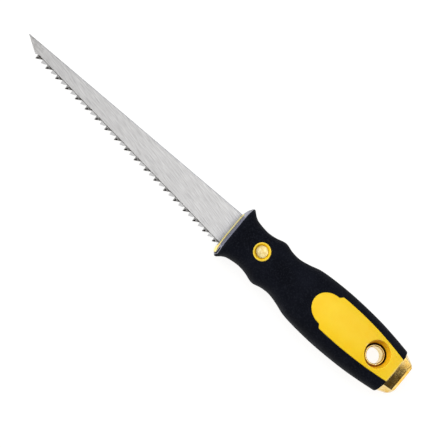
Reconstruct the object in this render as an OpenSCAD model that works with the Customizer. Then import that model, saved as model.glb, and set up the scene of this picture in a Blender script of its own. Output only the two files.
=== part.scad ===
// Drywall saw: a pointed, coarse-toothed blade with a full tang, clamped between two
// plastic core halves under a rubber grip, with a metal striking cap on the butt.
//
// X runs along the handle from the blade to the butt, Y points to the blade's spine and
// Z is across the blade. The origin is the centre of the hang hole, on the blade's
// middle plane. Lengths along the saw are given from the bolster's ridge.

/* [Blade] */
// Exposed length from the tip to the bolster's ridge
blade_l = 167; // [140:1:180]
// Thickness of the steel
blade_t = 1.2; // [0.9:0.1:1.4]
// Height of the spine over the handle's axis at the tip
tip_y = 7.2; // [6:0.1:8]
// Height of the spine over the handle's axis at the bolster
spine_y = 11.3; // [10:0.1:11.5]
// Height of the gullets at the first tooth
front_gullet_y = 1.1; // [0.8:0.1:1.6]
// Height of the gullets at the last tooth
rear_gullet_y = -10.9; // [-11:0.1:-10]
// Number of teeth
teeth = 37; // [30:1:38]
// Height of a tooth
tooth_h = 2.1; // [1.8:0.1:2.5]
// Sideways lean of the teeth, to alternate sides
tooth_set = 7; // [3:0.5:9]

/* [Handle] */
// Length of the rubber grip from the bolster's ridge
grip_l = 125; // [123:1:127]
// How far the bolster's front face bows forward
bow = 2.1; // [1.5:0.1:2.9]
// Thickness of the rubber over the core
rubber_t = 2.2; // [1.8:0.1:2.6]
// Squareness of the handle's cross-section
squareness = 2.6; // [2.2:0.1:3]

/* [Rivet] */
// Distance of the rivet from the bolster's ridge
rivet_x = 19.1; // [17:0.1:21]
// Radius of the visible head
rivet_head_r = 3.85; // [3.6:0.05:4.1]
// Radius of the plastic boss round the head
boss_r = 5.6; // [5.4:0.1:6]

/* [Hang hole] */
// Distance of the hang hole from the bolster's ridge
hole_x = 110.5; // [108:0.5:112]
// Radius of the opening
hole_r = 5; // [4.5:0.1:5.2]
// Radius of the dish round the opening, where it meets the handle's face
dish_r = 8.4; // [8:0.1:9]

/* [End cap] */
// Length of the cap
cap_l = 7.8; // [7:0.1:9]
// Half width of the cap where it meets the grip
cap_w = 13.9; // [13.2:0.1:14.2]
// Half width of the striking face
cap_end_w = 9.7; // [9:0.1:10.5]

/* [Hidden] */
round_fn = 64;

// Handle stations: distance from the ridge, half width, half thickness.
stations = [
    [-3, 18, 11.4], [0, 17.7, 11.2], [1.6, 17.2, 11.1], [4, 15.6, 11], [7, 14.1, 10.8],
    [15, 12.9, 10.6], [21, 13.5, 10.7], [28, 15.3, 11.2], [34, 13.9, 10.9], [40, 13.5, 10.9],
    [47, 14.9, 11.4], [54, 17, 12.1], [64, 18.1, 12.9], [80, 18.7, 13.2], [100, 18, 12.4],
    [113, 16.7, 10.9], [grip_l, 15, 9.5]
];
ring_sides = 28;
ring_step = 4;

// Core
nose_lip = 0.5;
nose_z = 1.6;
nose_bottom = -16.4;
nose_in = 3;
// The toe, where the lower half's nose is deeper: Y and depth under the middle plane.
toe = [[-12, 0], [-12, 4], [-12.8, 5.2], [-14, 5.4], [-15.4, 4.4], [nose_bottom, 2.4], [nose_bottom, 0]];
fit_gap = 0.1;
pins = [[62, 11.5], [62, -11.5], [92, 12.5], [92, -12.5]];
pin_r = 1.5;
pin_l = 3;

// Panel: an elliptical lobe, a shoulder, then a slow taper to the butt.
lobe_x = 71.5;
lobe_l = 11.5;
lobe_w = 9.9;
shoulder_x = 74;
panel_mid_x = 82;
panel_w = 12.2;
panel_taper = 0.0021;

// Reaches well past the model, for cutting it.
big = 400;
// How far a short cut or a joined shape runs past its neighbour
overlap = 1;

// Teeth: the tip's slanting cut ends just before the first one.
first_gullet_x = -blade_l + 11.9;
last_gullet_x = -2.4;
tip_cut = [1.6, 0.4];
tooth_root = 0.3;
tooth_face = 0.3;
tooth_tip = 0.4;
gullet_back = 0.9;
gullet_step = 0.6;

// Tang
blade_heel = 4;
blade_under_y = -11;
tang_w = 7.5;
eye_r = 12;
eye_gap = 0.5;
tail_w = 5;

// Rivet
boss_z = 10.2;
head_t = 1.2;
head_rim_t = 0.8;
crown_t = 0.3;
post_top = 7;
post_gap = 1;
shank_gap = 1;
head_gap = 0.35;
barrel_r = 2.6;
post_r = 1.6;

// Eyelet
eyelet_t = 0.8;
rim_r = 6.2;
rim_t = 1;
rim_round = 0.3;
dish_seat = 3.6;
dish_h = 7.6;
dish_slope = 0.19;
// Floor of the groove between the eyelet's seat and the dish's wall
groove_z = 2.4;

// Cap: each ring is [x, half width, half width of the flat, half thickness, half height of the edge].
cap_bevel = 1.8;
cap_rings = [
    [grip_l, cap_w, cap_w - 3.3, 8.9, 2.5],
    [grip_l + cap_l - cap_bevel, cap_end_w + 1.7, cap_end_w - 0.1, 7.7, 2.2],
    [grip_l + cap_l, cap_end_w, cap_end_w - 1.4, 6.5, 1.8]
];
peen_recess = 1;
peen_w = 6;
peen_z = 1.5;
peen_t = 0.7;
peen_gap = 0.5;
cap_end_x = grip_l + cap_l;

steel = "#c9ccd0";
yellow = "#f6d33c";
rubber = "#16181f";
brass = "#cfa857";

function slope(k, i, c) =
    let (a = max(i - 1, 0), b = min(i + 1, len(k) - 1))
    (k[b][c] - k[a][c]) / (k[b][0] - k[a][0]);

function spline(k, x, c, i = 0) =
    (i < len(k) - 2 && x > k[i + 1][0]) ? spline(k, x, c, i + 1) :
    let (h = k[i + 1][0] - k[i][0], t = (x - k[i][0]) / h)
    (2 * t * t * t - 3 * t * t + 1) * k[i][c]
    + (t * t * t - 2 * t * t + t) * h * slope(k, i, c)
    + (3 * t * t - 2 * t * t * t) * k[i + 1][c]
    + (t * t * t - t * t) * h * slope(k, i + 1, c);

function half_w(x) = spline(stations, x, 1);
function half_t(x) = spline(stations, x, 2);
function panel_half(x) = panel_w - panel_taper * pow(x - panel_mid_x, 2);
function bow_x(y) = -bow * (1 - pow(y / half_w(0), 4));
function power(v) = sign(v) * pow(abs(v), 2 / squareness);
// A superelliptic ring whose outermost flats reach exactly the half sizes given.
function ring(x, w, t) = [
    for (j = [0 : ring_sides - 1])
        let (a = 360 * (j + 0.5) / ring_sides, flat = power(cos(180 / ring_sides)))
        [x, w * power(cos(a)) / flat, t * power(sin(a)) / flat]
];

function cap_ring(r) = [
    for (q = [[1, 1], [-1, 1], [-1, -1], [1, -1]])
        each (q[0] * q[1] > 0
            ? [[r[0], q[0] * r[1], q[1] * r[4]], [r[0], q[0] * r[2], q[1] * r[3]]]
            : [[r[0], q[0] * r[2], q[1] * r[3]], [r[0], q[0] * r[1], q[1] * r[4]]])
];

// Closed solid through rings of points, which all have the same count.
module loft(rings) {
    m = len(rings[0]);
    last = len(rings) - 1;
    polyhedron(
        points = [for (r = rings) each r],
        faces = [
            [for (j = [0 : m - 1]) j],
            [for (j = [0 : m - 1]) last * m + m - 1 - j],
            for (i = [0 : last - 1], j = [0 : m - 1])
                let (a = i * m + j, b = i * m + (j + 1) % m) [a, a + m, b],
            for (i = [0 : last - 1], j = [0 : m - 1])
                let (a = i * m + j, b = i * m + (j + 1) % m) [b, a + m, b + m]
        ]
    );
}

module bore(r) {
    translate([0, 0, -big / 2]) cylinder(h = big, r = r, $fn = round_fn);
}

// The handle's outer form, drawn in by t all over, from its bowed front to x = back.
module handle_form(t, back) {
    start = stations[0][0];
    count = round((back - start) / ring_step);
    edge = [for (i = [0 : 12])
        let (y = half_w(0) * (i / 6 - 1))
        [bow_x(y) + t, y]];
    intersection() {
        loft([for (i = [0 : count])
            let (x = start + (back - start) * i / count)
            ring(x, half_w(x) - t, half_t(x) - t)]);
        linear_extrude(big, center = true)
            polygon(concat([[big, -big]], [[t, -big]], edge, [[t, big]], [[big, big]]));
    }
}

// The dish, the groove round the eyelet's seat and the room over them.
module dish_form() {
    foot_r = dish_r - dish_h * dish_slope;
    out_r = dish_r + dish_h * dish_slope;
    out_z = dish_seat + 2 * dish_h;
    rotate_extrude($fn = round_fn)
        polygon([
            [0, dish_seat], [rim_r, dish_seat], [rim_r, groove_z], [foot_r, groove_z],
            [foot_r, dish_seat], [out_r, out_z], [0, out_z]
        ]);
}

module panel_prism() {
    edge = concat(
        [for (a = [0 : 10 : 90]) [lobe_x - lobe_l * cos(a), lobe_w * sin(a)]],
        [for (i = [0 : 10])
            let (x = shoulder_x + (grip_l - shoulder_x) * i / 10)
            [x, panel_half(x)]]
    );
    lower = [for (i = [len(edge) - 1 : -1 : 1]) [edge[i][0], -edge[i][1]]];
    linear_extrude(big, center = true) polygon(concat(edge, lower));
}

module nose() {
    top = spine_y + nose_lip;
    front = [for (i = [0 : 8])
        let (y = nose_bottom + (top - nose_bottom) * i / 8)
        [bow_x(y) - nose_lip, y]];
    back = [[nose_in, top], [nose_in, nose_bottom + nose_in]];
    linear_extrude(2 * nose_z, center = true) polygon(concat(front, back));
    intersection() {
        translate([0, 0, -big]) linear_extrude(big) polygon(concat(front, back));
        rotate([90, 0, 90]) linear_extrude(big, center = true)
            polygon([for (p = toe) [p[0], -p[1]]]);
    }
}

// Plan of the steel without its teeth, grown by g for the pocket in the core.
module plate_plan(g) {
    polygon([
        [-blade_l, tip_y + g], [blade_heel + g, spine_y + g], [blade_heel + g, blade_under_y - g],
        [last_gullet_x, rear_gullet_y - g], [first_gullet_x, front_gullet_y],
        [first_gullet_x - tip_cut[0], front_gullet_y - tip_cut[1]]
    ]);
    translate([blade_heel - overlap, -tang_w - g])
        square([hole_x - blade_heel, 2 * (tang_w + g)]);
    translate([hole_x, 0]) circle(eye_r + g, $fn = round_fn);
    translate([hole_x, -tail_w - g]) square([cap_end_x - peen_recess - hole_x, 2 * (tail_w + g)]);
}

// One tooth, with its steep face to the tip, leaning to the side given.
module tooth(i, side) {
    start = [first_gullet_x, front_gullet_y];
    run = ([last_gullet_x, rear_gullet_y] - start) / teeth;
    pitch = norm(run);
    at = start + run * i;
    translate([at[0], at[1], 0]) rotate([0, 0, atan2(run[1], run[0])])
        rotate([side * tooth_set, 0, 0]) linear_extrude(blade_t, center = true)
        polygon([
            [0, tooth_root], [0, 0], [tooth_face, -tooth_h], [tooth_face + tooth_tip, -tooth_h],
            [pitch - gullet_back, -gullet_step], [pitch - tooth_root, tooth_root]
        ]);
}

module blade() {
    color(steel) translate([-hole_x, 0, 0]) {
        difference() {
            linear_extrude(blade_t, center = true) plate_plan(0);
            translate([rivet_x, 0, 0]) bore(barrel_r + fit_gap);
            translate([hole_x, 0, 0]) bore(hole_r + eyelet_t + eye_gap);
        }
        for (i = [0 : teeth - 1]) tooth(i, i % 2 == 0 ? 1 : -1);
        translate([cap_end_x - peen_recess, -peen_w, -peen_z])
            cube([peen_t, 2 * peen_w, 2 * peen_z]);
    }
}

// Everything the core fills, both halves together.
module core_form() {
    handle_form(rubber_t, grip_l);
    intersection() {
        handle_form(0, grip_l);
        panel_prism();
    }
    translate([rivet_x, 0, -boss_z]) cylinder(h = 2 * boss_z, r = boss_r, $fn = round_fn);
    nose();
}

// One half of the core, turned so that it is the upper one, without its pin sockets.
module core_half(lower = false) {
    difference() {
        mirror([0, 0, lower ? 1 : 0]) core_form();
        translate([-big / 2, -big / 2, -big]) cube(big);
        linear_extrude(blade_t, center = true) plate_plan(fit_gap);
        translate([rivet_x, 0, 0]) bore(barrel_r);
        translate([rivet_x, 0, boss_z - head_t])
            cylinder(h = head_t + overlap, r = rivet_head_r + head_gap, $fn = round_fn);
        translate([hole_x, 0, 0]) bore(hole_r + eyelet_t);
        translate([hole_x, 0, 0]) dish_form();
    }
}

// A locating pin that is rooted below the parting plane.
module pin(r, l) {
    translate([0, 0, -overlap]) cylinder(h = l + overlap, r = r, $fn = round_fn);
}

module core_top() {
    color(yellow) translate([-hole_x, 0, 0]) difference() {
        core_half();
        for (p = pins)
            translate([p[0], p[1], 0]) pin(pin_r + fit_gap, pin_l + 2 * fit_gap);
    }
}

module core_bottom() {
    color(yellow) translate([-hole_x, 0, 0]) {
        mirror([0, 0, 1]) core_half(lower = true);
        for (p = pins) translate([p[0], p[1], 0]) pin(pin_r, pin_l);
    }
}

module grip() {
    color(rubber) translate([-hole_x, 0, 0]) difference() {
        handle_form(0, grip_l);
        core_form();
        linear_extrude(blade_t, center = true) plate_plan(fit_gap);
        translate([rivet_x, 0, 0]) bore(boss_r);
    }
}

// The rivet's upper head, with a slight crown.
module rivet_head() {
    translate([0, 0, boss_z - head_t]) cylinder(h = head_rim_t, r = rivet_head_r, $fn = round_fn);
    translate([0, 0, boss_z - head_t + head_rim_t])
        cylinder(h = crown_t, r1 = rivet_head_r, r2 = rivet_head_r - 2 * crown_t, $fn = round_fn);
}

module rivet_barrel() {
    shank_end = head_t + shank_gap - boss_z;
    color(brass) translate([rivet_x - hole_x, 0, 0]) difference() {
        union() {
            rivet_head();
            translate([0, 0, shank_end])
                cylinder(h = boss_z - head_t - shank_end, r = barrel_r, $fn = round_fn);
        }
        translate([0, 0, -boss_z]) cylinder(h = boss_z + post_top, r = post_r, $fn = round_fn);
    }
}

module rivet_post() {
    color(brass) translate([rivet_x - hole_x, 0, 0]) {
        mirror([0, 0, 1]) rivet_head();
        translate([0, 0, -boss_z + head_rim_t])
            cylinder(h = boss_z - head_rim_t + post_top - post_gap, r = post_r, $fn = round_fn);
    }
}

// A tube with a rolled rim at each end, seated in the two dishes.
module hang_eyelet() {
    out = hole_r + eyelet_t;
    top = dish_seat + rim_t;
    half = [
        [out, dish_seat], [rim_r, dish_seat], [rim_r, top - rim_round],
        [rim_r - rim_round, top], [hole_r, top]
    ];
    lower = [for (i = [len(half) - 1 : -1 : 0]) [half[i][0], -half[i][1]]];
    color(brass) rotate_extrude($fn = round_fn) polygon(concat(half, lower));
}

module end_cap() {
    color(brass) translate([-hole_x, 0, 0]) difference() {
        loft([for (r = cap_rings) cap_ring(r)]);
        translate([grip_l - overlap, -tail_w - fit_gap, -blade_t / 2])
            cube([cap_l + 2 * overlap, 2 * (tail_w + fit_gap), blade_t]);
        translate([cap_end_x - peen_recess, -peen_w - peen_gap, -peen_z - peen_gap])
            cube([cap_l, 2 * (peen_w + peen_gap), 2 * (peen_z + peen_gap)]);
    }
}

blade();
core_top();
core_bottom();
grip();
rivet_barrel();
rivet_post();
hang_eyelet();
end_cap();
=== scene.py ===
import math

import bmesh
import bpy
import numpy as np
from mathutils import Matrix, Vector
from mathutils.geometry import tessellate_polygon


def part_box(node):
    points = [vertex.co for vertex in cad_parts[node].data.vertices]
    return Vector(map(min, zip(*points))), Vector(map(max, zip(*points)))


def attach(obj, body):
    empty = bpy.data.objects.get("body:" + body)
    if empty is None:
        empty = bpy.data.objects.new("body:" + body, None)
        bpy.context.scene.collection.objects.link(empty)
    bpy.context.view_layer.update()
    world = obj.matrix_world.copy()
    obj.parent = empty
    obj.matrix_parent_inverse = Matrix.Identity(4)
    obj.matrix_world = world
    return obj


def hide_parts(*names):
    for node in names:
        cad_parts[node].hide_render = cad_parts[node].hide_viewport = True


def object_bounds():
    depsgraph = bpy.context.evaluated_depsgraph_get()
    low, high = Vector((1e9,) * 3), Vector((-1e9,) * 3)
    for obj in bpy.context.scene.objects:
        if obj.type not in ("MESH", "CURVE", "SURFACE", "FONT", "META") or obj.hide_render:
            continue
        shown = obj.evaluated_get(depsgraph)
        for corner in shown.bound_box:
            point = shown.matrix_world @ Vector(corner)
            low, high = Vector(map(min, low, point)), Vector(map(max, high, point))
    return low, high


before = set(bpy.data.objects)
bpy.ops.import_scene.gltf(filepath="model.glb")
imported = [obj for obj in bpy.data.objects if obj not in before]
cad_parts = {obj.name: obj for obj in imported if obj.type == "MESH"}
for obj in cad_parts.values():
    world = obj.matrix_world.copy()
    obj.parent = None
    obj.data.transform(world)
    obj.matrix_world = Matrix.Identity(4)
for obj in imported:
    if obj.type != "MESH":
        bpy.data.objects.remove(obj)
CAD_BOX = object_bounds()

# Shapes are worked out in millimetres, with X counted from the bolster's ridge as in the
# part's source. Builder.piece turns them into metres in the frame.
MM = 0.001
GRIP_L = 125.0
RIDGE_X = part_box("grip")[1][0] / MM - GRIP_L
HOLE_X = -RIDGE_X
TIP_AT = CAD_BOX[0][0]  # metres, for the blade's finish

# Handle stations: distance from the ridge, half width, half thickness. They are the ones of
# the part's source, but for the widest, which is a hair smaller to stay inside the faceted
# form's box, and the front four, which are wider because the rounded ridge takes it back.
STATIONS = np.array([
    (-3, 18.9, 11.4), (0, 18.6, 11.2), (1.6, 17.8, 11.1), (4, 15.7, 11), (7, 14.1, 10.8),
    (15, 12.9, 10.6), (21, 13.5, 10.7), (28, 15.3, 11.2), (34, 13.9, 10.9), (40, 13.5, 10.9),
    (47, 14.9, 11.4), (54, 17, 12.1), (64, 18.1, 12.9), (80, 18.69, 13.19), (100, 18, 12.4),
    (113, 16.7, 10.9), (GRIP_L, 15, 9.5),
], float)
SQUARENESS = 2.6
BOW = 2.1
FACE_LEAN = 0.45
RUBBER_T = 2.2

BLADE_L = 167.0
BLADE_T = 1.2
TIP_Y = 7.2
SPINE_Y = 11.3
UNDER_Y = -11.0
HEEL_X = 4.0
TIP_CUT = (1.6, 0.4)
FIRST_GULLET = np.array((-155.1, 1.1))
LAST_GULLET = np.array((-2.4, -10.9))
TEETH = 37
TOOTH_H = 2.1
TOOTH_LEAN = math.tan(math.radians(7))
TANG_W = 7.5
EYE_R = 12.0
TAIL_W = 5.0

RIVET_X = 19.1
RIVET_R = 3.85
BARREL_R = 2.6
POST_R = 1.6
BOSS_R = 5.6
BOSS_Z = 10.2
HEAD_SEAT = 9.0

LOBE_X, LOBE_L, LOBE_W = 71.5, 11.5, 9.9
SHOULDER_X = 74.0
PANEL_MID_X, PANEL_W, PANEL_TAPER = 82.0, 12.2, 0.0021

HOLE_R = 5.0
TUBE_R = 5.8
RIM_R = 6.2
RIM_T = 1.0
GROOVE_Z = 2.4
DISH_R = 8.4
DISH_FOOT_R = 6.96
DISH_SLOPE = 0.19
DISH_SEAT = 3.6
SHADE_BAND_H = 1.1  # height of the painted shade at the foot of the dish's wall
NOSE_HIGHLIGHT_END_Y = -10.5  # where the painted highlight on the nose ends

CAP_L = 7.8
CAP_END_X = GRIP_L + CAP_L
PEEN_RECESS, PEEN_T, PEEN_W, PEEN_Z = 1.0, 0.7, 6.0, 1.5

FIT = 0.06


# ---------------------------------------------------------------- handle form

def spline(x, column):
    """A smooth curve through the stations, worked out as in the part's source."""
    k, v = STATIONS[:, 0], STATIONS[:, column]
    slopes = np.empty_like(v)
    slopes[1:-1] = (v[2:] - v[:-2]) / (k[2:] - k[:-2])
    slopes[0] = (v[1] - v[0]) / (k[1] - k[0])
    slopes[-1] = (v[-1] - v[-2]) / (k[-1] - k[-2])
    i = np.clip(np.searchsorted(k, x) - 1, 0, len(k) - 2)
    h = k[i + 1] - k[i]
    t = (x - k[i]) / h
    return ((2 * t**3 - 3 * t**2 + 1) * v[i] + (t**3 - 2 * t**2 + t) * h * slopes[i]
            + (3 * t**2 - 2 * t**3) * v[i + 1] + (t**3 - t**2) * h * slopes[i + 1])


def half_width(x):
    return spline(x, 1)


def half_thick(x):
    return spline(x, 2)


def bow_x(y, width):
    """How far the bolster's front stands forward at y, on a ring of that half width."""
    return -BOW * (1 - np.minimum(np.abs(y) / width, 1) ** 4)


def skin_z(x, y, inset=0.0):
    """Height of the handle's skin over x, y, for the form drawn in by inset."""
    w, t = half_width(x) - inset, half_thick(x) - inset
    return t * np.maximum(1 - (np.abs(y) / w) ** SQUARENESS, 0) ** (1 / SQUARENESS)


def skin_row(x, inset, start, stop, count):
    """Points evenly spaced over the skin at x, from y = start (None: the side) to y = stop."""
    w, t = half_width(x) - inset, half_thick(x) - inset
    power = 2 / SQUARENESS
    ends = [0 if y is None else math.acos(min(max(y / w, 0), 1) ** (1 / power))
            for y in (start, stop)]
    a = np.linspace(*ends, 200)
    y = w * np.abs(np.cos(a)) ** power
    z = t * np.sin(a) ** power
    run = np.concatenate([[0], np.cumsum(np.hypot(np.diff(y), np.diff(z)))])
    want = np.linspace(0, run[-1], count + 1)
    return np.stack([np.full(count + 1, x), np.interp(want, run, y), np.interp(want, run, z)], 1)


def bowed_row(x, inset, amount, count):
    """A whole quarter section whose middle is carried forward with the bolster's bow."""
    row = skin_row(x, inset, None, 0, count)
    lean = FACE_LEAN * row[:, 2] / (half_thick(x) - inset)
    row[:, 0] += amount * (bow_x(row[:, 1], half_width(x) - inset) + lean)
    row[:, 2] = skin_z(row[:, 0], row[:, 1], inset)
    return row


def boss_edge(x, grow):
    """Half width at x of the boss's circle grown by grow, and the outline's normal there."""
    r = BOSS_R + grow
    y = math.sqrt(max(r * r - (x - RIVET_X) ** 2, 0))
    return y, ((x - RIVET_X) / r, y / r)


def panel_edge(x, grow):
    """Half width at x of the panel's outline grown by grow, and the outline's normal there."""
    length, width = LOBE_L + grow, LOBE_W + grow
    u = (x - LOBE_X) / length
    if u < 0:
        y = width * math.sqrt(max(1 - u * u, 0))
        n = Vector((u / length, y / width**2)).normalized()
        return y, (n[0], n[1])

    def outline(at):
        body = PANEL_W + grow - PANEL_TAPER * (at - PANEL_MID_X) ** 2
        step = min((at - LOBE_X) / (SHOULDER_X - LOBE_X), 1)
        return width + (body - width) * step * step * (3 - 2 * step)

    n = Vector((outline(x) - outline(x + 0.01), 0.01)).normalized()
    return outline(x), (n[0], n[1])


def eased(a, b, count):
    """Values from a to b, closer together at both ends, as across a circle."""
    return (a + b) / 2 - (b - a) / 2 * np.cos(np.linspace(0, math.pi, count + 1))


def eased_in(a, b, count):
    return b - (b - a) * np.cos(np.linspace(0, math.pi / 2, count + 1))


def quarter(steps):
    """Sine and cosine at even steps from 0 to 90 degrees."""
    for i in range(steps + 1):
        a = math.pi / 2 * i / steps
        yield math.sin(a), math.cos(a)


# ---------------------------------------------------------------- mesh helper

SAME_PLACE = 1e-4
WELD = 2e-3
SHARP_DEG = 35
# The places of a piece's further materials: of its second one, and of a core half's three.
SECOND = 1
# A core half's three are painted shade in the groove round the eyelet, painted shade on the dish's wall,
# and a painted highlight on the nose.
GROOVE_SHADE, DISH_SHADE, NOSE_HIGHLIGHT = 1, 2, 3
# How far behind the ridge the bolster's front reaches, and the normal.x it stays below.
FRONT_DEPTH = 0.3
FACING_FRONT = -0.86


class Builder:
    """Collects faces given by their corner points, and joins the points that coincide."""

    def __init__(self):
        self.points, self.index, self.faces = [], {}, []

    def vertex(self, p):
        key = tuple(int(round(c / SAME_PLACE)) for c in p)
        if key not in self.index:
            self.index[key] = len(self.points)
            self.points.append(tuple(float(c) for c in p))
        return self.index[key]

    def face(self, corners):
        ring = []
        for p in corners:
            v = self.vertex(p)
            if v not in ring:
                ring.append(v)
        if len(ring) > 2:
            self.faces.append(ring)

    def sheet(self, rows, signs=(1, 1, 1)):
        """Quads between rows of points, which may be mirrored by signs."""
        rows = [np.asarray(r, float) * signs for r in rows]
        for a, b in zip(rows, rows[1:]):
            for j in range(len(a) - 1):
                self.face([a[j], b[j], b[j + 1], a[j + 1]])

    def lathe(self, profile, cx, up=1, turns=96):
        """A closed profile of radius and height, revolved round the upright line at cx."""
        a = np.linspace(0, 2 * math.pi, turns, endpoint=False)
        rings = [np.stack([cx + r * np.cos(a), r * np.sin(a), np.full(turns, up * z)], 1)
                 for r, z in profile + profile[:1]]
        self.sheet([np.vstack([r, r[:1]]) for r in rings])

    def piece(self, name, smooth_deg=SHARP_DEG):
        """A new object from the faces, shaded smooth where they meet below smooth_deg."""
        mesh = bpy.data.meshes.new(name)
        points = (np.array(self.points) + (RIDGE_X, 0, 0)) * MM
        mesh.from_pydata(points.tolist(), [], self.faces)
        work = bmesh.new()
        work.from_mesh(mesh)
        bmesh.ops.remove_doubles(work, verts=work.verts[:], dist=WELD * MM)
        bmesh.ops.recalc_face_normals(work, faces=work.faces[:])
        work.to_mesh(mesh)
        work.free()
        mesh.shade_smooth()
        mesh.set_sharp_from_angle(angle=math.radians(smooth_deg))
        obj = bpy.data.objects.new(name, mesh)
        bpy.context.scene.collection.objects.link(obj)
        return obj


def apply_modifiers(obj):
    graph = bpy.context.evaluated_depsgraph_get()
    mesh = bpy.data.meshes.new_from_object(obj.evaluated_get(graph))
    obj.modifiers.clear()
    obj.data = mesh


def bevelled(obj, width, segments=2, angle_deg=25):
    bevel = obj.modifiers.new("edges", "BEVEL")
    bevel.width = width * MM
    bevel.segments = segments
    bevel.limit_method = "ANGLE"
    bevel.angle_limit = math.radians(angle_deg)
    bevel.use_clamp_overlap = False
    apply_modifiers(obj)
    obj.data.set_sharp_from_angle(angle=math.radians(SHARP_DEG))
    obj.modifiers.new("flats", "WEIGHTED_NORMAL").keep_sharp = True
    apply_modifiers(obj)
    return obj


def finish_piece(obj, material, node):
    obj.data.materials.clear()
    obj.data.materials.append(material)
    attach(obj, "root")
    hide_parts(node)
    return obj


# ---------------------------------------------------------------- rubber grip

AROUND = 30
RIDGE_ROUND = 1.8
BUTT_ROUND = 0.7
LIP = 0.3
BOW_FADE = 8.0
NOSE_Z = 1.6
NOSE_TOP = SPINE_Y + 0.5
NOSE_BOTTOM = -16.4
# The toe is where the lower core's nose is deeper: distances from the middle along Y and Z.
TOE_END = 12
TOE = [(-NOSE_BOTTOM, 2.4), (15.4, 4.4), (14, 5.4), (12.8, 5.2), (TOE_END, 4)]
# Each quarter of the sleeve, by the signs of its axes, with its quarter of the slot.
QUARTERS = [
    ((1, 1, 1), [(NOSE_TOP, 0), (NOSE_TOP, NOSE_Z), (0, NOSE_Z)]),
    ((1, 1, -1), [(NOSE_TOP, 0), (NOSE_TOP, NOSE_Z), (0, NOSE_Z)]),
    ((1, -1, 1), [(-NOSE_BOTTOM, 0), (-NOSE_BOTTOM, NOSE_Z), (0, NOSE_Z)]),
    ((1, -1, -1), [(-NOSE_BOTTOM, 0)] + TOE + [(TOE_END, NOSE_Z), (0, NOSE_Z)]),
]


def slot_row(x, outline):
    """A quarter of the bolster's slot, point for point with a ring round the handle."""
    at = np.round(np.linspace(0, AROUND, len(outline)))
    y, z = (np.interp(np.arange(AROUND + 1), at, [p[k] for p in outline]) for k in (0, 1))
    return np.stack([x + bow_x(y, half_width(0)), y, z], 1)


def bow_fade(x):
    f = np.clip((x - RIDGE_ROUND) / (BOW_FADE - RIDGE_ROUND), 0, 1)
    return 1 - f * f * (3 - 2 * f)


def window_row(x, inset, edge, deep):
    """A quarter section from the side to a window, round its lip and down its wall."""
    y, normal = edge(x, FIT + LIP)
    row = skin_row(x, inset, None, y, AROUND)
    top = row[-1]
    lip = [(min(x - normal[0] * LIP * s, GRIP_L), y - normal[1] * LIP * s,
            top[2] - LIP * (1 - c)) for s, c in quarter(3)][1:]
    foot = (*lip[-1][:2], skin_z(lip[-1][0], lip[-1][1], deep))
    return np.vstack([row, lip, [foot]])


def grip_outside():
    """Lists of rows over the sleeve's outer surface, from the bolster's face to the butt."""
    boss = BOSS_R + FIT + LIP
    lobe = LOBE_L + FIT + LIP
    front = []
    for s, c in quarter(5):
        front.append(bowed_row(RIDGE_ROUND * (1 - c), RIDGE_ROUND * (1 - s), 1, AROUND))
    for x in np.linspace(RIDGE_ROUND, RIVET_X - boss, 12)[1:]:
        front.append(bowed_row(x, 0, bow_fade(x), AROUND))
    neck = [skin_row(x, 0, None, 0, AROUND)
            for x in np.linspace(RIVET_X + boss, LOBE_X - lobe, 30)]
    over_boss = [window_row(x, 0, boss_edge, RUBBER_T)
                 for x in eased(RIVET_X - boss, RIVET_X + boss, 24)]
    front[-1] = over_boss[0][:AROUND + 1]
    xs = np.concatenate([
        eased_in(LOBE_X - lobe, LOBE_X, 16),
        np.linspace(LOBE_X, SHOULDER_X, 7)[1:],
        np.linspace(SHOULDER_X, GRIP_L - BUTT_ROUND, 28)[1:],
    ])
    back = [window_row(x, 0, panel_edge, RUBBER_T) for x in xs]
    for s, c in list(quarter(4))[1:]:
        back.append(window_row(GRIP_L - BUTT_ROUND * (1 - s), BUTT_ROUND * (1 - c),
                               panel_edge, RUBBER_T))
    return front, over_boss, neck, back


def inner_row(outer):
    """The row inside the sleeve that ends at the foot of an outer row's wall."""
    foot = outer[-1]
    return skin_row(foot[0], RUBBER_T, None, foot[1], AROUND)


def make_grip():
    b = Builder()
    front, over_boss, neck, back = grip_outside()
    for signs, outline in QUARTERS:
        slot = slot_row(0, outline)
        slot[:, 0] += FACE_LEAN * slot[:, 2] / half_thick(0)
        deep_slot = slot_row(RUBBER_T, outline)
        shelf = bowed_row(RUBBER_T, RUBBER_T, 1, AROUND)
        face = [slot * (1 - f) + front[0] * f for f in (0, 0.35, 0.7)]
        for row in face:
            row[:, 0] = bow_x(row[:, 1], half_width(0)) + FACE_LEAN * row[:, 2] / half_thick(0)
        b.sheet(face + front, signs)
        b.sheet(over_boss, signs)
        b.sheet(neck, signs)
        b.sheet(back, signs)
        first, last = over_boss[0][-1][0], over_boss[-1][-1][0]
        lead = [bowed_row(x, RUBBER_T, bow_fade(x), AROUND)
                for x in np.linspace(RUBBER_T, first, 9)[1:-1]]
        lead.append(inner_row(over_boss[0]))
        hollow = [skin_row(x, RUBBER_T, None, 0, AROUND)
                  for x in np.linspace(last, back[0][-1][0], 20)]
        b.sheet([slot, deep_slot, shelf] + lead, signs)
        b.sheet([inner_row(r) for r in over_boss], signs)
        b.sheet(hollow, signs)
        inside = [inner_row(r) for r in back]
        b.sheet(inside, signs)
        butt = back[-1]
        b.sheet([butt[:AROUND + 1], inside[-1]], signs)
        b.face([p * signs for p in butt[AROUND:]])
    # Where the flare brings a row's first points down to the seam, both halves leave a sliver.
    b.faces = [f for f in b.faces if any(abs(b.points[v][2]) > WELD / 2 for v in f)]
    return b.piece("rubber_grip", 40)


# ---------------------------------------------------------------- core halves

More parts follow.
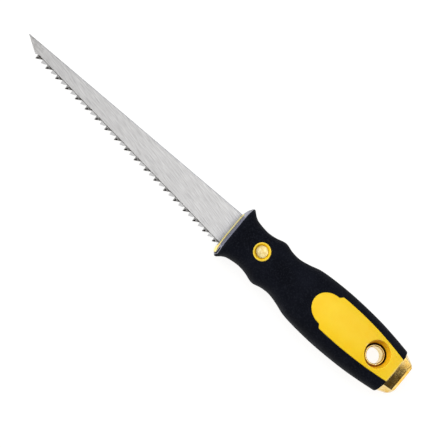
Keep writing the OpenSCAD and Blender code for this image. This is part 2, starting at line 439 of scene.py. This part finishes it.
PANEL_ROUND = 0.45
DISH_ROUND = 0.3
CORE_INSET = RUBBER_T + FIT
BOSS_PROFILE = [
    (5.6, BOSS_Z - 0.3), (5.51, BOSS_Z - 0.09), (5.3, BOSS_Z), (4.8, BOSS_Z),
    (4.66, BOSS_Z - 0.06), (4.1, HEAD_SEAT + 0.25), (4.0, HEAD_SEAT), (BARREL_R + FIT, HEAD_SEAT),
    (BARREL_R + FIT, 0),
]


def radial(profile, cx, x, r):
    """The profile of radius and height, standing in the direction of x on a circle r."""
    cos = min(max((x - cx) / r, -1), 1)
    sin = math.sqrt(1 - cos * cos)
    return [(cx + pr * cos, pr * sin, z) for pr, z in profile]


def dish_points(x, radius, top):
    """Down the dish at x on its circle: round the rim, down the wall, the seat, the hole."""
    rim = [(radius - DISH_ROUND * s, top - DISH_ROUND * (1 - c)) for s, c in quarter(3)][1:]
    wall = [(DISH_FOOT_R + SHADE_BAND_H * DISH_SLOPE, DISH_SEAT + SHADE_BAND_H), (DISH_FOOT_R, DISH_SEAT),
            (DISH_FOOT_R, GROOVE_Z), (RIM_R, GROOVE_Z),
            (RIM_R, DISH_SEAT), (TUBE_R + FIT, DISH_SEAT), (TUBE_R + FIT, 0)]
    return radial(rim + wall, HOLE_X, x, radius)


def panel_row(x):
    """From the core's side over its shoulder, up the panel's edge and over the panel."""
    y, n = panel_edge(x, -FIT - PANEL_ROUND)
    foot = (min(x + n[0] * PANEL_ROUND, GRIP_L), y + n[1] * PANEL_ROUND)
    under = skin_row(foot[0], CORE_INSET, None, foot[1], 10)
    top = skin_z(x, y)
    edge = [(min(x + n[0] * PANEL_ROUND * c, GRIP_L), y + n[1] * PANEL_ROUND * c,
             top - PANEL_ROUND * (1 - s)) for s, c in quarter(4)]
    rim = DISH_R + DISH_ROUND
    if abs(x - HOLE_X) > rim + 1e-6:
        return np.vstack([under, edge[:-1], skin_row(x, 0, y, 0, 16)])
    inner = math.sqrt(max(rim**2 - (x - HOLE_X) ** 2, 0))
    over = skin_row(x, 0, y, inner, 16)
    return np.vstack([under, edge[:-1], over, dish_points(x, rim, over[-1][2])])


def boss_row(x):
    y, _ = boss_edge(x, 0)
    under = skin_row(x, CORE_INSET, None, y, 10)
    return np.vstack([under, radial(BOSS_PROFILE, RIVET_X, x, BOSS_R)])


def floor_rows(rows):
    """The parting face below rows: from each row's side to its last point's place."""
    return [[(r[0][0], r[0][1], 0), (r[-1][0], r[-1][1], 0)] for r in rows]


NOSE_OUT = 0.28
NOSE_BACK = 1.0


def nose_ribbon(b, sz):
    """The core's rim in the bolster's slot, clear of the blade that passes through it."""
    clear = BLADE_T / 2 + FIT
    steps = [(NOSE_BOTTOM + FIT, 0)] + [(-y, 0) for y, _ in TOE[1:-1]]
    steps += [(-TOE_END - FIT, 0), (-TOE_END, 0), (UNDER_Y - FIT, 0), (UNDER_Y - FIT, clear)]
    steps += [(y, clear) for y in np.linspace(UNDER_Y, SPINE_Y, 18)[1:-1]]
    steps += [(SPINE_Y + FIT, clear), (SPINE_Y + FIT, 0), (NOSE_TOP - FIT, 0)]
    rows = []
    for y, low in steps:
        x = bow_x(y, half_width(0)) - NOSE_OUT
        top = NOSE_Z - FIT
        if sz < 0 and y < -TOE_END:
            top = np.interp(-y, *zip(*TOE[::-1])) - FIT
        back = RUBBER_T + NOSE_BACK
        rows.append([(back, y, low), (x, y, low), (x, y, top - 0.5), (x + 0.15, y, top - 0.15),
                     (x + 0.5, y, top), (back, y, top), (back, y, low)])
    b.sheet(rows, (1, 1, sz))
    for row in (rows[0], rows[-1]):
        b.face([np.array(p) * (1, 1, sz) for p in row[:-1]])


def core_rows():
    """Lists of rows over a quarter of the core: front, boss, neck, panel, dish and tail."""
    rim = DISH_R + DISH_ROUND
    lobe = LOBE_X - LOBE_L + FIT + PANEL_ROUND
    front = [bowed_row(x, CORE_INSET, bow_fade(x), 10)
             for x in np.linspace(CORE_INSET, RIVET_X - BOSS_R, 8)]
    boss = [boss_row(x) for x in eased(RIVET_X - BOSS_R, RIVET_X + BOSS_R, 24)]
    neck = [skin_row(x, CORE_INSET, None, 0, 10)
            for x in np.linspace(RIVET_X + BOSS_R, lobe - PANEL_ROUND, 16)]
    xs = np.concatenate([
        eased_in(lobe, LOBE_X, 16),
        np.linspace(LOBE_X, SHOULDER_X, 7)[1:],
        np.linspace(SHOULDER_X, HOLE_X - rim, 18)[1:],
    ])
    panel = [panel_row(x) for x in xs]
    dish = [panel_row(x) for x in eased(HOLE_X - rim, HOLE_X + rim, 32)]
    tail = [panel_row(x) for x in np.linspace(HOLE_X + rim, GRIP_L, 5)]
    # The rows that touch the dish's circle end on the panel where their neighbours go on.
    panel[-1] = dish[0][:len(panel[0])]
    tail[0] = dish[-1][:len(panel[0])]
    return front, boss, neck, panel, dish, tail


def parting_gap(b, row, x, signs):
    """The parting face between a row's line and the middle of the line that meets it at x."""
    side = (row[0][0], row[0][1], 0)
    b.face([np.array(p) * signs for p in (side, (x, 0, 0), (row[-1][0], 0, 0))])


def make_core(name, sz):
    b = Builder()
    groups = core_rows()
    front, boss, neck, panel, dish, tail = groups
    for sy in (1, -1):
        signs = (1, sy, sz)
        b.sheet([front[0] * (1, 1, 0), front[0]], signs)
        b.face(list(front[0] * (1, 1, 0) * signs))
        for rows in groups:
            b.sheet(rows, signs)
            b.sheet(floor_rows(rows), signs)
        parting_gap(b, dish[0], panel[-1][-1][0], signs)
        parting_gap(b, dish[-1], tail[0][-1][0], signs)
        parting_gap(b, boss[0], RIVET_X - BOSS_R, signs)
        parting_gap(b, boss[-1], RIVET_X + BOSS_R, signs)
        parting_gap(b, panel[0], neck[-1][-1][0], signs)
        end = list(tail[-1]) + [(GRIP_L, 0, 0)]
        b.face([np.array(p) * signs for p in end])
    nose_ribbon(b, sz)
    return b.piece(name, 38)


# ---------------------------------------------------------------- rivet, eyelet, cap

BARREL_END, BORE_END, BORE_CLEAR = 8.0, 7, 0.02
POST_END, POST_NOSE = 6, 0.3
SEAT_CLEAR = 0.02
WELL_CLEAR, TAIL_CLEAR = 0.6, 0.3
CAP_CROWN = 0.75
# Cap rings: x, half width, half width of the flat, half thickness, half height of the edge.
CAP_RINGS = [
    (GRIP_L + FIT, 13.9, 10.6, 8.9, 2.5),
    (CAP_END_X - 1.8, 11.4, 9.6, 7.7, 2.2),
    (CAP_END_X, 9.7, 8.3, 6.5, 1.8),
]


def head_profile(shank_r):
    """A low crowned head with a rounded rim, from its crown's middle to the shank."""
    rim, crown = 0.35, BOSS_Z - 0.1
    side = crown - 0.12
    flat = RIVET_R - rim
    points = [(flat * f, crown - (crown - side) * f * f) for f in np.linspace(0, 1, 9)]
    points += [(flat + rim * s, side - rim * (1 - c)) for s, c in quarter(4)][1:]
    return points + [(RIVET_R, HEAD_SEAT), (shank_r, HEAD_SEAT)]


def make_rivet_barrel():
    b = Builder()
    bore = POST_R + BORE_CLEAR
    b.lathe(head_profile(BARREL_R) + [(BARREL_R, -BARREL_END), (bore, -BARREL_END),
                                      (bore, BORE_END), (0, BORE_END)], RIVET_X)
    return b.piece("rivet_upper", 30)


def make_rivet_post():
    b = Builder()
    b.lathe(head_profile(POST_R) + [(POST_R, POST_NOSE - POST_END),
                                    (POST_R - POST_NOSE, -POST_END), (0, -POST_END)], RIVET_X, -1)
    return b.piece("rivet_lower", 30)


def make_eyelet():
    """A tube rolled over at each end into a rim with rounded edges."""
    b = Builder()
    top = DISH_SEAT + RIM_T
    outer, inner = 0.45, 0.6
    under = DISH_SEAT + SEAT_CLEAR
    half = [(TUBE_R, under), (RIM_R - 0.12, under)]
    half += [(RIM_R - outer * (1 - c), top - outer * (1 - s)) for s, c in quarter(5)]
    half += [(HOLE_R + inner * (1 - s), top - inner * (1 - c)) for s, c in quarter(5)]
    b.lathe(half + [(r, -z) for r, z in reversed(half)], HOLE_X)
    return b.piece("hanging_eyelet", 40)


def cap_ring(x, wide, flat, thick, edge, crown=CAP_CROWN):
    """Eight sides, of which the upper and lower ones are crowned."""
    face = [(x, flat * u, thick - crown * u * u) for u in np.linspace(1, -1, 13)]
    top = [(x, wide, edge)] + face + [(x, -wide, edge)]
    return top + [(x, y, -z) for x, y, z in reversed(top)]


def box_ring(x, wide, thick):
    """A rectangle with as many points as a cap ring."""
    return cap_ring(x, wide, wide * 0.8, thick, thick * 0.5, 0)


def make_cap():
    b = Builder()
    rings = [cap_ring(*r) for r in CAP_RINGS]
    floor_x = CAP_END_X - PEEN_RECESS
    mouth = box_ring(CAP_END_X, PEEN_W + WELL_CLEAR, PEEN_Z + WELL_CLEAR)
    well = box_ring(floor_x, PEEN_W + WELL_CLEAR, PEEN_Z + WELL_CLEAR)
    inner = box_ring(floor_x, TAIL_W + TAIL_CLEAR, BLADE_T / 2 + FIT)
    back = box_ring(GRIP_L + FIT, TAIL_W + TAIL_CLEAR, BLADE_T / 2 + FIT)
    loop = rings + [mouth, well, inner, back, rings[0]]
    b.sheet([r + r[:1] for r in loop])
    return bevelled(b.piece("striking_cap"), 0.3, 3, 18)


# ---------------------------------------------------------------- blade

# The tip's ground facets meet at the peak, and end on the tooth's back.
PEAK = (1.0, 0.3)
GRIND_END = (1.9, 1.3)
# The teeth stand on this line, a little above the gullets (down is positive). A step joins it to the plate.
ROOT = -0.25
STEP_W, STEP_Z = 0.22, 0.1
# The chamfer along the spine.
SPINE_W, SPINE_Z = 0.35, 0.2
RIVET_HOLE_CLEAR, TUBE_HOLE_CLEAR = 0.1, 0.5
TAIL_END_X = CAP_END_X - PEEN_RECESS


def arc_points(cx, r, start_deg, stop_deg, count):
    a = np.radians(np.linspace(start_deg, stop_deg, count + 1))
    return [(cx + r * math.cos(t), r * math.sin(t)) for t in a]


def along_teeth():
    """Unit vectors along the tooth line and down from it, and the pitch."""
    run = (LAST_GULLET - FIRST_GULLET) / TEETH
    pitch = float(np.hypot(*run))
    along = run / pitch
    return along, np.array((along[1], -along[0])), pitch


def tooth_shape(pitch):
    """The tooth's outline from gullet to gullet: distance along the line, and down."""
    back = [(0.62, TOOTH_H), GRIND_END, (pitch - 1.0, 0.55), (pitch - 0.62, 0.22),
            (pitch - 0.3, -0.02)]
    return [(0, -0.15), (0.3, TOOTH_H)] + back + [(pitch, -0.15)]


def edge_profile(point, inner=None):
    """Down the plate's rim at a corner, chamfered if an inner point is given."""
    half = BLADE_T / 2
    if inner is None:
        return [(*point, half), (*point, half), (*point, -half), (*point, -half)]
    side = half - SPINE_Z
    return [(*inner, half), (*point, side), (*point, -side), (*inner, -half)]


def blade_outline(roots):
    """The plate's corners in order, and the outer point of each corner that is chamfered."""
    cut_end = FIRST_GULLET - TIP_CUT
    tip = np.array((-BLADE_L, TIP_Y))
    cut = (cut_end - tip) / np.linalg.norm(cut_end - tip)
    spine = np.array((HEEL_X, SPINE_Y)) - tip
    spine /= np.linalg.norm(spine)
    lean_in = SPINE_W / abs(spine[0] * cut[1] - spine[1] * cut[0])
    tip_in, heel_in = tuple(tip + cut * lean_in), (HEEL_X, SPINE_Y - SPINE_W)
    tang_start = math.degrees(math.asin(TANG_W / EYE_R))
    tail_start = math.degrees(math.asin(TAIL_W / EYE_R))
    outline = [tip_in, heel_in, (HEEL_X, TANG_W)]
    outline += arc_points(HOLE_X, EYE_R, 180 - tang_start, tail_start, 20)
    outline += [(TAIL_END_X, TAIL_W), (TAIL_END_X, -TAIL_W)]
    outline += arc_points(HOLE_X, EYE_R, -tail_start, tang_start - 180, 20)
    outline += [(HEEL_X, -TANG_W), (HEEL_X, UNDER_Y)]
    outline += roots[::-1]
    outline += [tuple(cut_end)]
    return outline, {tip_in: tuple(tip), heel_in: (HEEL_X, SPINE_Y)}


def peened_head(b):
    """The tail's end, hammered out in the cap's recess."""
    box = [(TAIL_END_X, sy * PEEN_W, sz * PEEN_Z)
           for sy, sz in ((1, 1), (-1, 1), (-1, -1), (1, -1))]
    top = [(x + PEEN_T, y * 0.97, z * 0.9) for x, y, z in box]
    b.sheet([box + box[:1], top + top[:1]])
    b.face(box)
    b.face(top)


def make_blade():
    b = Builder()
    along, down, pitch = along_teeth()

    def place(i, s, d, z):
        x, y = FIRST_GULLET + along * (pitch * i + s) + down * d
        return (x, y, z)

    roots = [place(i, 0, ROOT - STEP_W, 0)[:2] for i in range(TEETH + 1)]
    outline, chamfered = blade_outline(roots)
    loops = [outline,
             arc_points(RIVET_X, BARREL_R + RIVET_HOLE_CLEAR, 360, 0, 48)[:-1],
             arc_points(HOLE_X, TUBE_R + TUBE_HOLE_CLEAR, 360, 0, 64)[:-1]]
    flat = [p for loop in loops for p in loop]
    triangles = tessellate_polygon([[Vector((x, y, 0)) for x, y in loop] for loop in loops])
    for z in (BLADE_T / 2, -BLADE_T / 2):
        for t in triangles:
            b.face([(*flat[k], z) for k in t])
    rooted = set(roots)
    for loop in loops:
        for p, q in zip(loop, loop[1:] + loop[:1]):
            if not (p in rooted and q in rooted):
                b.sheet([edge_profile(chamfered[c], c) if c in chamfered else edge_profile(c)
                         for c in (p, q)])
    for i in range(TEETH):
        make_tooth(b, place, i, pitch)
    peened_head(b)
    return b.piece("saw_blade", 20)


def make_tooth(b, place, i, pitch):
    """One tooth, leaning to its side, with its tip ground away from the other side."""
    side = 1 if i % 2 == 0 else -1
    half = BLADE_T / 2 - STEP_Z
    outline = tooth_shape(pitch)
    end = outline.index(GRIND_END)

    def at(s, d, z):
        lean = -side * max(d, 0) * TOOTH_LEAN
        return place(i, s, d, z + lean)

    keen, ground = -side * half, side * half
    edge = [at(s, d, keen) for s, d in outline]
    back = [at(s, d, ground) for s, d in outline[end:]]
    roots = {z: [place(i, 0, ROOT, z), place(i, pitch, ROOT, z)] for z in (keen, ground)}
    plate = {z: [place(i, s, ROOT - STEP_W, math.copysign(BLADE_T / 2, z)) for s in (0, pitch)]
             for z in (keen, ground)}
    for z in (keen, ground):
        b.face([plate[z][0], plate[z][1], roots[z][1], roots[z][0]])
    b.face([roots[keen][0]] + edge + [roots[keen][1]])
    first, peak = at(*outline[0], ground), at(*PEAK, ground)
    b.face([roots[ground][0], first, peak] + back + [roots[ground][1]])
    b.face([first, edge[0], edge[1], peak])
    for a, c in zip(edge[1:end], edge[2:end + 1]):
        b.face([peak, a, c])
    b.face([peak, edge[end], back[0]])
    b.sheet([edge[end:], back])
    ends = {0: (0, edge[0], first), TEETH - 1: (1, edge[-1], back[-1])}
    if i in ends:
        k, lower, upper = ends[i]
        b.face([plate[keen][k], roots[keen][k], lower, upper, roots[ground][k], plate[ground][k]])


def finish_the_teeth(blade, material):
    """Gives everything below the root line the finish of ground edges."""
    blade.data.materials.append(material)
    along, down, _ = along_teeth()
    for face in blade.data.polygons:
        at = np.array((face.center.x / MM - RIDGE_X, face.center.y / MM)) - FIRST_GULLET
        if at @ down > ROOT + 0.02 and 0 < at @ along and face.center.x < (RIDGE_X - 1) * MM:
            face.material_index = SECOND


# ---------------------------------------------------------------- materials

class Finish:
    """A material built up round one Principled shader, in the row frame's metres."""

    def __init__(self, name, **values):
        self.material = bpy.data.materials.new(name)
        self.material.use_nodes = True
        self.nodes = self.material.node_tree.nodes
        self.links = self.material.node_tree.links
        self.shader = self.nodes["Principled BSDF"]
        self.place = self.nodes.new("ShaderNodeTexCoord").outputs["Object"]
        for key, value in values.items():
            title = key.replace("_", " ").title().replace("Ior", "IOR")
            self.shader.inputs[title].default_value = value

    def stretched(self, scale, turn_deg=0):
        """The coordinates turned about Z and scaled, for grain that runs one way."""
        node = self.nodes.new("ShaderNodeMapping")
        node.vector_type = "TEXTURE"
        node.inputs["Rotation"].default_value = (0, 0, math.radians(turn_deg))
        node.inputs["Scale"].default_value = scale
        self.links.new(self.place, node.inputs["Vector"])
        return node.outputs["Vector"]

    def noise(self, size_mm, detail=3, rough=0.55, where=None):
        """Noise whose features are about size_mm across, or of size 1 in the space given."""
        node = self.nodes.new("ShaderNodeTexNoise")
        node.inputs["Scale"].default_value = 1 / (size_mm * MM) if where is None else 1
        node.inputs["Detail"].default_value = detail
        node.inputs["Roughness"].default_value = rough
        self.links.new(where or self.place, node.inputs["Vector"])
        return node.outputs["Fac"]

    def remap(self, value, low, high, to_low, to_high):
        node = self.nodes.new("ShaderNodeMapRange")
        ends = {"From Min": low, "From Max": high, "To Min": to_low, "To Max": to_high}
        for key, v in ends.items():
            node.inputs[key].default_value = v
        self.links.new(value, node.inputs["Value"])
        return node.outputs["Result"]

    def mix(self, fac, a, b):
        """Colour a to b by fac; a and b are colours or sockets."""
        node = self.nodes.new("ShaderNodeMix")
        node.data_type = "RGBA"
        self.links.new(fac, node.inputs["Factor"])
        for key, c in (("A", a), ("B", b)):
            socket = [s for s in node.inputs if s.name == key and s.type == "RGBA"][0]
            if isinstance(c, tuple):
                socket.default_value = (*c, 1)
            else:
                self.links.new(c, socket)
        return [s for s in node.outputs if s.type == "RGBA"][0]

    def axis(self, name):
        """One coordinate of the row frame."""
        node = self.nodes.new("ShaderNodeSeparateXYZ")
        self.links.new(self.place, node.inputs["Vector"])
        return node.outputs[name]

    def product(self, a, b):
        node = self.nodes.new("ShaderNodeMath")
        node.operation = "MULTIPLY"
        self.links.new(a, node.inputs[0])
        self.links.new(b, node.inputs[1])
        return node.outputs["Value"]

    def edges(self, low=0.5, high=0.56):
        """From 0 on flat and hollow places to 1 on sharp outer edges."""
        node = self.nodes.new("ShaderNodeNewGeometry")
        return self.remap(node.outputs["Pointiness"], low, high, 0, 1)

    def bump(self, *layers):
        """Stacks bumps, each a height socket and its depth in millimetres."""
        normal = None
        for height, depth in layers:
            node = self.nodes.new("ShaderNodeBump")
            node.inputs["Distance"].default_value = depth * MM
            self.links.new(height, node.inputs["Height"])
            if normal:
                self.links.new(normal, node.inputs["Normal"])
            normal = node.outputs["Normal"]
        self.links.new(normal, self.shader.inputs["Normal"])

    def use(self, socket, key):
        self.links.new(socket, self.shader.inputs[key])


def rubber_finish():
    """Soft blue-black rubber with a fine matt grain and faint handling marks."""
    f = Finish("soft_rubber", specular_ior_level=0.055)
    cloud = f.noise(16, 4)
    base = f.mix(f.remap(cloud, 0.35, 0.65, 0, 1),
                 (0.0028, 0.0034, 0.0065), (0.0055, 0.0066, 0.012))
    worn = f.mix(f.edges(0.52, 0.6), base, (0.02, 0.021, 0.026))
    speck = f.remap(f.noise(0.9, 2), 0.5, 0.68, 0, 0.8)
    f.use(f.mix(speck, worn, (0.012, 0.014, 0.021)), "Base Color")
    f.use(f.remap(f.noise(5, 5), 0.3, 0.7, 0.6, 0.76), "Roughness")
    f.bump((f.noise(0.28, 2), 0.03), (f.noise(1.4, 3), 0.025))
    return f.material


def bolster_sheen_finish():
    """The same rubber, smoother, on the bolster's face, with a painted sheen: its base colour is a pale
    blue-grey that stands in for reflected light.
    """
    f = Finish("rubber_painted_sheen", specular_ior_level=0.25)
    cloud = f.remap(f.noise(3, 4), 0.35, 0.65, 0, 1)
    # Painted sheen: a blue-grey base colour, far lighter than the rubber's own.
    f.use(f.mix(cloud, (0.17, 0.18, 0.26), (0.21, 0.225, 0.32)), "Base Color")
    f.use(f.remap(f.noise(1.5, 4), 0.3, 0.7, 0.22, 0.34), "Roughness")
    f.bump((f.noise(0.9, 3), 0.008), (f.noise(0.3, 2), 0.004))
    return f.material


def paint_bolster_sheen(grip, material):
    """Gives the flat faces at the very front of the grip the rubber with the painted sheen."""
    grip.data.materials.append(material)
    front = (RIDGE_X + FRONT_DEPTH) * MM
    for face in grip.data.polygons:
        if face.center.x < front and face.normal.x < FACING_FRONT:
            face.material_index = SECOND


def plastic_finish(name, deep, light):
    """Moulded plastic, slightly translucent, with a spark-eroded grain and a painted highlight on its sharp
    edges.
    """
    f = Finish(name, subsurface_weight=0.15, subsurface_scale=0.002, specular_ior_level=0.3)
    f.shader.inputs["Subsurface Radius"].default_value = (1.0, 0.6, 0.1)
    cloud = f.remap(f.noise(14, 4), 0.35, 0.65, 0, 1)
    base = f.mix(cloud, deep, light)
    dust = f.remap(f.noise(0.8, 3), 0.66, 0.75, 0, 0.35)
    tinted = f.mix(dust, base, tuple(c * 0.8 for c in deep))
    # Painted highlight: sharp outer edges turn pale cream.
    f.use(f.mix(f.edges(0.53, 0.6), tinted, (1.0, 0.88, 0.32)), "Base Color")
    f.use(f.remap(f.noise(3, 4), 0.3, 0.7, 0.34, 0.5), "Roughness")
    f.bump((f.noise(0.22, 2), 0.018), (f.noise(2.5, 3), 0.02))
    return f.material


def groove_shade_finish():
    """The same plastic with painted shade round the eyelet's seat: near black towards +Y, shaded orange
    towards -Y.
    """
    f = Finish("plastic_painted_groove_shade", specular_ior_level=0.15)
    shade_cloud = f.remap(f.noise(0.7, 4), 0.35, 0.65, 0, 1)
    painted_dark = f.mix(shade_cloud, (0.02, 0.012, 0.003), (0.06, 0.032, 0.005))
    # Painted shade: the groove turns from shaded orange to near black towards +Y.
    shade_toward_plus_y = f.remap(f.axis("Y"), -0.0045, 0.0005, 0, 1)
    f.use(f.mix(shade_toward_plus_y, (0.62, 0.25, 0.015), painted_dark), "Base Color")
    f.use(f.remap(f.noise(0.4, 3), 0.3, 0.7, 0.7, 0.9), "Roughness")
    f.bump((f.noise(0.3, 3), 0.03))
    return f.material


def finish_places(core, groove_shade, dish_shade, nose_highlight):
    """Gives the groove round the eyelet and the dish's wall their painted shade, and the nose its painted
    highlight.
    """
    for material in (groove_shade, dish_shade, nose_highlight):
        core.data.materials.append(material)
    for face in core.data.polygons:
        x, y, z = (c / MM for c in face.center)
        r = math.hypot(x - HOLE_X - RIDGE_X, y)
        up = abs(z)
        # Painted shade round the eyelet: the groove and the foot of the dish's wall take the darkened
        # plastic.
        if RIM_R - 0.1 < r < DISH_R and GROOVE_Z - 0.1 < up:
            low = r < DISH_FOOT_R + SHADE_BAND_H * DISH_SLOPE and up < DISH_SEAT + SHADE_BAND_H - 0.1
            # The rest of the dish's wall takes the shaded copy of the plastic, painted shade as well.
            face.material_index = GROOVE_SHADE if low else DISH_SHADE
        # Painted highlight: the nose's front takes the pale cream plastic.
        if x < RIDGE_X + FRONT_DEPTH and y > NOSE_HIGHLIGHT_END_Y:
            face.material_index = NOSE_HIGHLIGHT


def steel_finish():
    """Ground blade steel: slanting grind lines, lighter wear at the edges, faint stains."""
    f = Finish("ground_steel", metallic=1.0)
    grind = f.noise(1, 2, 0.6, f.stretched((0.008, 0.0004, 0.01), -12))
    coarse = f.noise(1, 2, 0.6, f.stretched((0.05, 0.0009, 0.02), -12))
    stain = f.remap(f.noise(9, 6, 0.65), 0.42, 0.68, 0, 1)
    base = f.mix(f.remap(grind, 0.36, 0.64, 0, 1), (0.50, 0.50, 0.51), (0.90, 0.905, 0.915))
    streaked = f.mix(f.remap(coarse, 0.5, 0.72, 0, 0.2), base, (0.80, 0.80, 0.81))
    stained = f.mix(f.remap(stain, 0, 1, 0, 0.25), streaked, (0.54, 0.54, 0.545))
    mottle = f.remap(f.noise(1.6, 5, 0.7), 0.4, 0.62, 0, 0.6)
    near_tip = f.remap(f.axis("X"), TIP_AT + 0.022, TIP_AT + 0.006, 0, 1)
    f.use(f.mix(f.product(mottle, near_tip), stained, (0.38, 0.365, 0.35)), "Base Color")
    f.use(f.remap(grind, 0.3, 0.7, 0.36, 0.46), "Roughness")
    f.bump((grind, 0.004), (coarse, 0.003))
    return f.material


def ground_finish():
    """The darker, finely scratched metal of ground teeth."""
    f = Finish("ground_tooth_steel", metallic=1.0)
    scratch = f.noise(1, 3, 0.6, f.stretched((0.0016, 0.00012, 0.002), 70))
    base = f.mix(f.remap(scratch, 0.3, 0.7, 0, 1), (0.30, 0.30, 0.303), (0.38, 0.38, 0.383))
    f.use(base, "Base Color")
    f.use(f.remap(f.noise(0.8, 3), 0.3, 0.7, 0.16, 0.26), "Roughness")
    f.bump((scratch, 0.003))
    return f.material


def brass_finish(name, dull, bright, rough, grain_mm):
    """Brass with cloudy tarnish, fine pitting and rubbed edges."""
    f = Finish(name, metallic=1.0)
    cloud = f.remap(f.noise(grain_mm * 3, 5, 0.6), 0.36, 0.64, 0, 1)
    base = f.mix(cloud, dull, bright)
    spots = f.remap(f.noise(grain_mm, 3), 0.6, 0.72, 0, 0.45)
    spotted = f.mix(spots, base, tuple(c * 0.62 for c in dull))
    f.use(f.mix(f.edges(0.52, 0.58), spotted, (0.95, 0.85, 0.55)), "Base Color")
    f.use(f.remap(f.noise(grain_mm * 1.7, 4), 0.3, 0.7, rough, rough + 0.14), "Roughness")
    scratch = f.noise(1, 2, 0.5, f.stretched((0.004, 0.00012, 0.004), 35))
    f.bump((scratch, 0.004), (f.noise(grain_mm, 3), 0.012))
    return f.material


# ---------------------------------------------------------------- studio

SENSOR_MM = 36
CAMERA_AWAY = 4.0
VIEW_WIDTH = 0.262
TILT_X, TILT_Y, ROLL = math.radians(8.5), math.radians(13.2), math.radians(41.65)
AIM = Vector(((RIDGE_X - 18.5) * MM, 0, 0))
AIM_RIGHT, AIM_UP = 0.00809, -0.00769
FLOOR_REACH = 6.0


def make_camera():
    """Looks down on the blade's flat side, tilted and rolled as the saw is seen."""
    back = Vector((-math.tan(TILT_X), -math.tan(TILT_Y), 1)).normalized()
    level = (Vector((1, 0, 0)) - back * back.x).normalized()
    rise = back.cross(level)
    right = level * math.cos(ROLL) + rise * math.sin(ROLL)
    up = rise * math.cos(ROLL) - level * math.sin(ROLL)
    data = bpy.data.cameras.new("camera")
    data.sensor_width = SENSOR_MM
    data.lens = SENSOR_MM * CAMERA_AWAY / VIEW_WIDTH
    data.clip_start, data.clip_end = 0.1, 20
    camera = bpy.data.objects.new("camera", data)
    place = AIM + right * AIM_RIGHT + up * AIM_UP + back * CAMERA_AWAY
    turn = Matrix((right, up, back)).transposed().to_4x4()
    camera.matrix_world = Matrix.Translation(place) @ turn
    bpy.context.scene.collection.objects.link(camera)
    bpy.context.scene.camera = camera


def softbox(name, toward, distance, size, radiance, colour=(1, 1, 1), reflected=True):
    """A square light that faces the part from the direction given."""
    data = bpy.data.lights.new(name, "AREA")
    data.size = size
    data.energy = radiance * math.pi * size * size
    data.color = colour
    light = bpy.data.objects.new(name, data)
    direction = Vector(toward).normalized()
    light.location = direction * distance
    light.rotation_mode = "QUATERNION"
    light.rotation_quaternion = direction.to_track_quat("Z", "Y")
    light.visible_glossy = reflected
    light.visible_camera = False
    bpy.context.scene.collection.objects.link(light)


def make_studio():
    world = bpy.data.worlds.new("studio")
    world.use_nodes = True
    shade = world.node_tree.nodes["Background"]
    shade.inputs["Color"].default_value = (1, 0.84, 0.64, 1)
    shade.inputs["Strength"].default_value = 0.07
    bpy.context.scene.world = world
    bpy.context.scene.view_settings.view_transform = "Standard"
    softbox("overhead_fill", (-0.55, -0.05, 0.83), 1.4, 1.7, 2.1, reflected=False)
    softbox("left_fill", (-0.75, -0.5, 0.45), 1.3, 1.3, 1.1, (1, 0.88, 0.62), reflected=False)
    softbox("blade_card", (0.12, 0.34, 0.94), 1.4, 0.86, 1.75)
    softbox("cap_card", (0.46, 0.54, 0.70), 1.2, 0.4, 1.6, (1, 0.95, 0.85))
    softbox("end_card", (0.93, 0.2, 0.3), 1.2, 0.7, 1.3, (1, 0.96, 0.88))
    softbox("cool_side", (0.1, 0.97, 0.35), 1.2, 0.6, 0.6, (0.72, 0.84, 1))


def make_floor():
    """A wide pale sheet under the part, bright enough to read as white paper."""
    r, z = FLOOR_REACH, CAD_BOX[0][2]
    mesh = bpy.data.meshes.new("floor")
    mesh.from_pydata([(-r, -r, z), (r, -r, z), (r, r, z), (-r, r, z)], [], [(0, 1, 2, 3)])
    floor = bpy.data.objects.new("floor", mesh)
    bpy.context.scene.collection.objects.link(floor)
    f = Finish("white_paper", base_color=(0.2, 0.2, 0.2, 1), roughness=0.9, specular_ior_level=0.1,
               emission_color=(1, 1, 1, 1), emission_strength=0.88)
    floor.data.materials.append(f.material)


# ---------------------------------------------------------------- assembly

def build():
    rubber, steel = rubber_finish(), steel_finish()
    plastic = plastic_finish("yellow_plastic", (0.96, 0.62, 0.012), (0.98, 0.67, 0.025))
    # A deeper orange copy of the yellow plastic: painted shade for the dish's wall.
    dish_shade = plastic_finish("yellow_plastic_painted_dish_shade", (1.0, 0.55, 0.009), (1.0, 0.62, 0.018))
    # Pale cream plastic: a painted highlight on the nose.
    nose_highlight = plastic_finish("plastic_painted_nose_highlight", (0.98, 0.80, 0.26), (1.0, 0.90, 0.44))
    worn_brass = brass_finish("worn_brass", (0.74, 0.55, 0.20), (0.93, 0.81, 0.42), 0.3, 0.6)
    plated = brass_finish("plated_cap", (0.74, 0.45, 0.08), (0.86, 0.66, 0.27), 0.13, 0.9)
    eyelet_brass = brass_finish("eyelet_brass", (0.76, 0.54, 0.14), (0.93, 0.80, 0.40), 0.2, 1.2)
    blade = finish_piece(make_blade(), steel, "blade")
    finish_the_teeth(blade, ground_finish())
    # Plastic with painted shade for the groove round the eyelet.
    groove_shade = groove_shade_finish()
    for name, side, node in (("core_shell_upper", 1, "core_top"),
                             ("core_shell_lower", -1, "core_bottom")):
        core = finish_piece(make_core(name, side), plastic, node)
        finish_places(core, groove_shade, dish_shade, nose_highlight)
    grip = finish_piece(make_grip(), rubber, "grip")
    paint_bolster_sheen(grip, bolster_sheen_finish())
    finish_piece(make_rivet_barrel(), worn_brass, "rivet_barrel")
    finish_piece(make_rivet_post(), worn_brass, "rivet_post")
    finish_piece(make_eyelet(), eyelet_brass, "hang_eyelet")
    finish_piece(make_cap(), plated, "end_cap")


build()
make_floor()
make_camera()
make_studio()
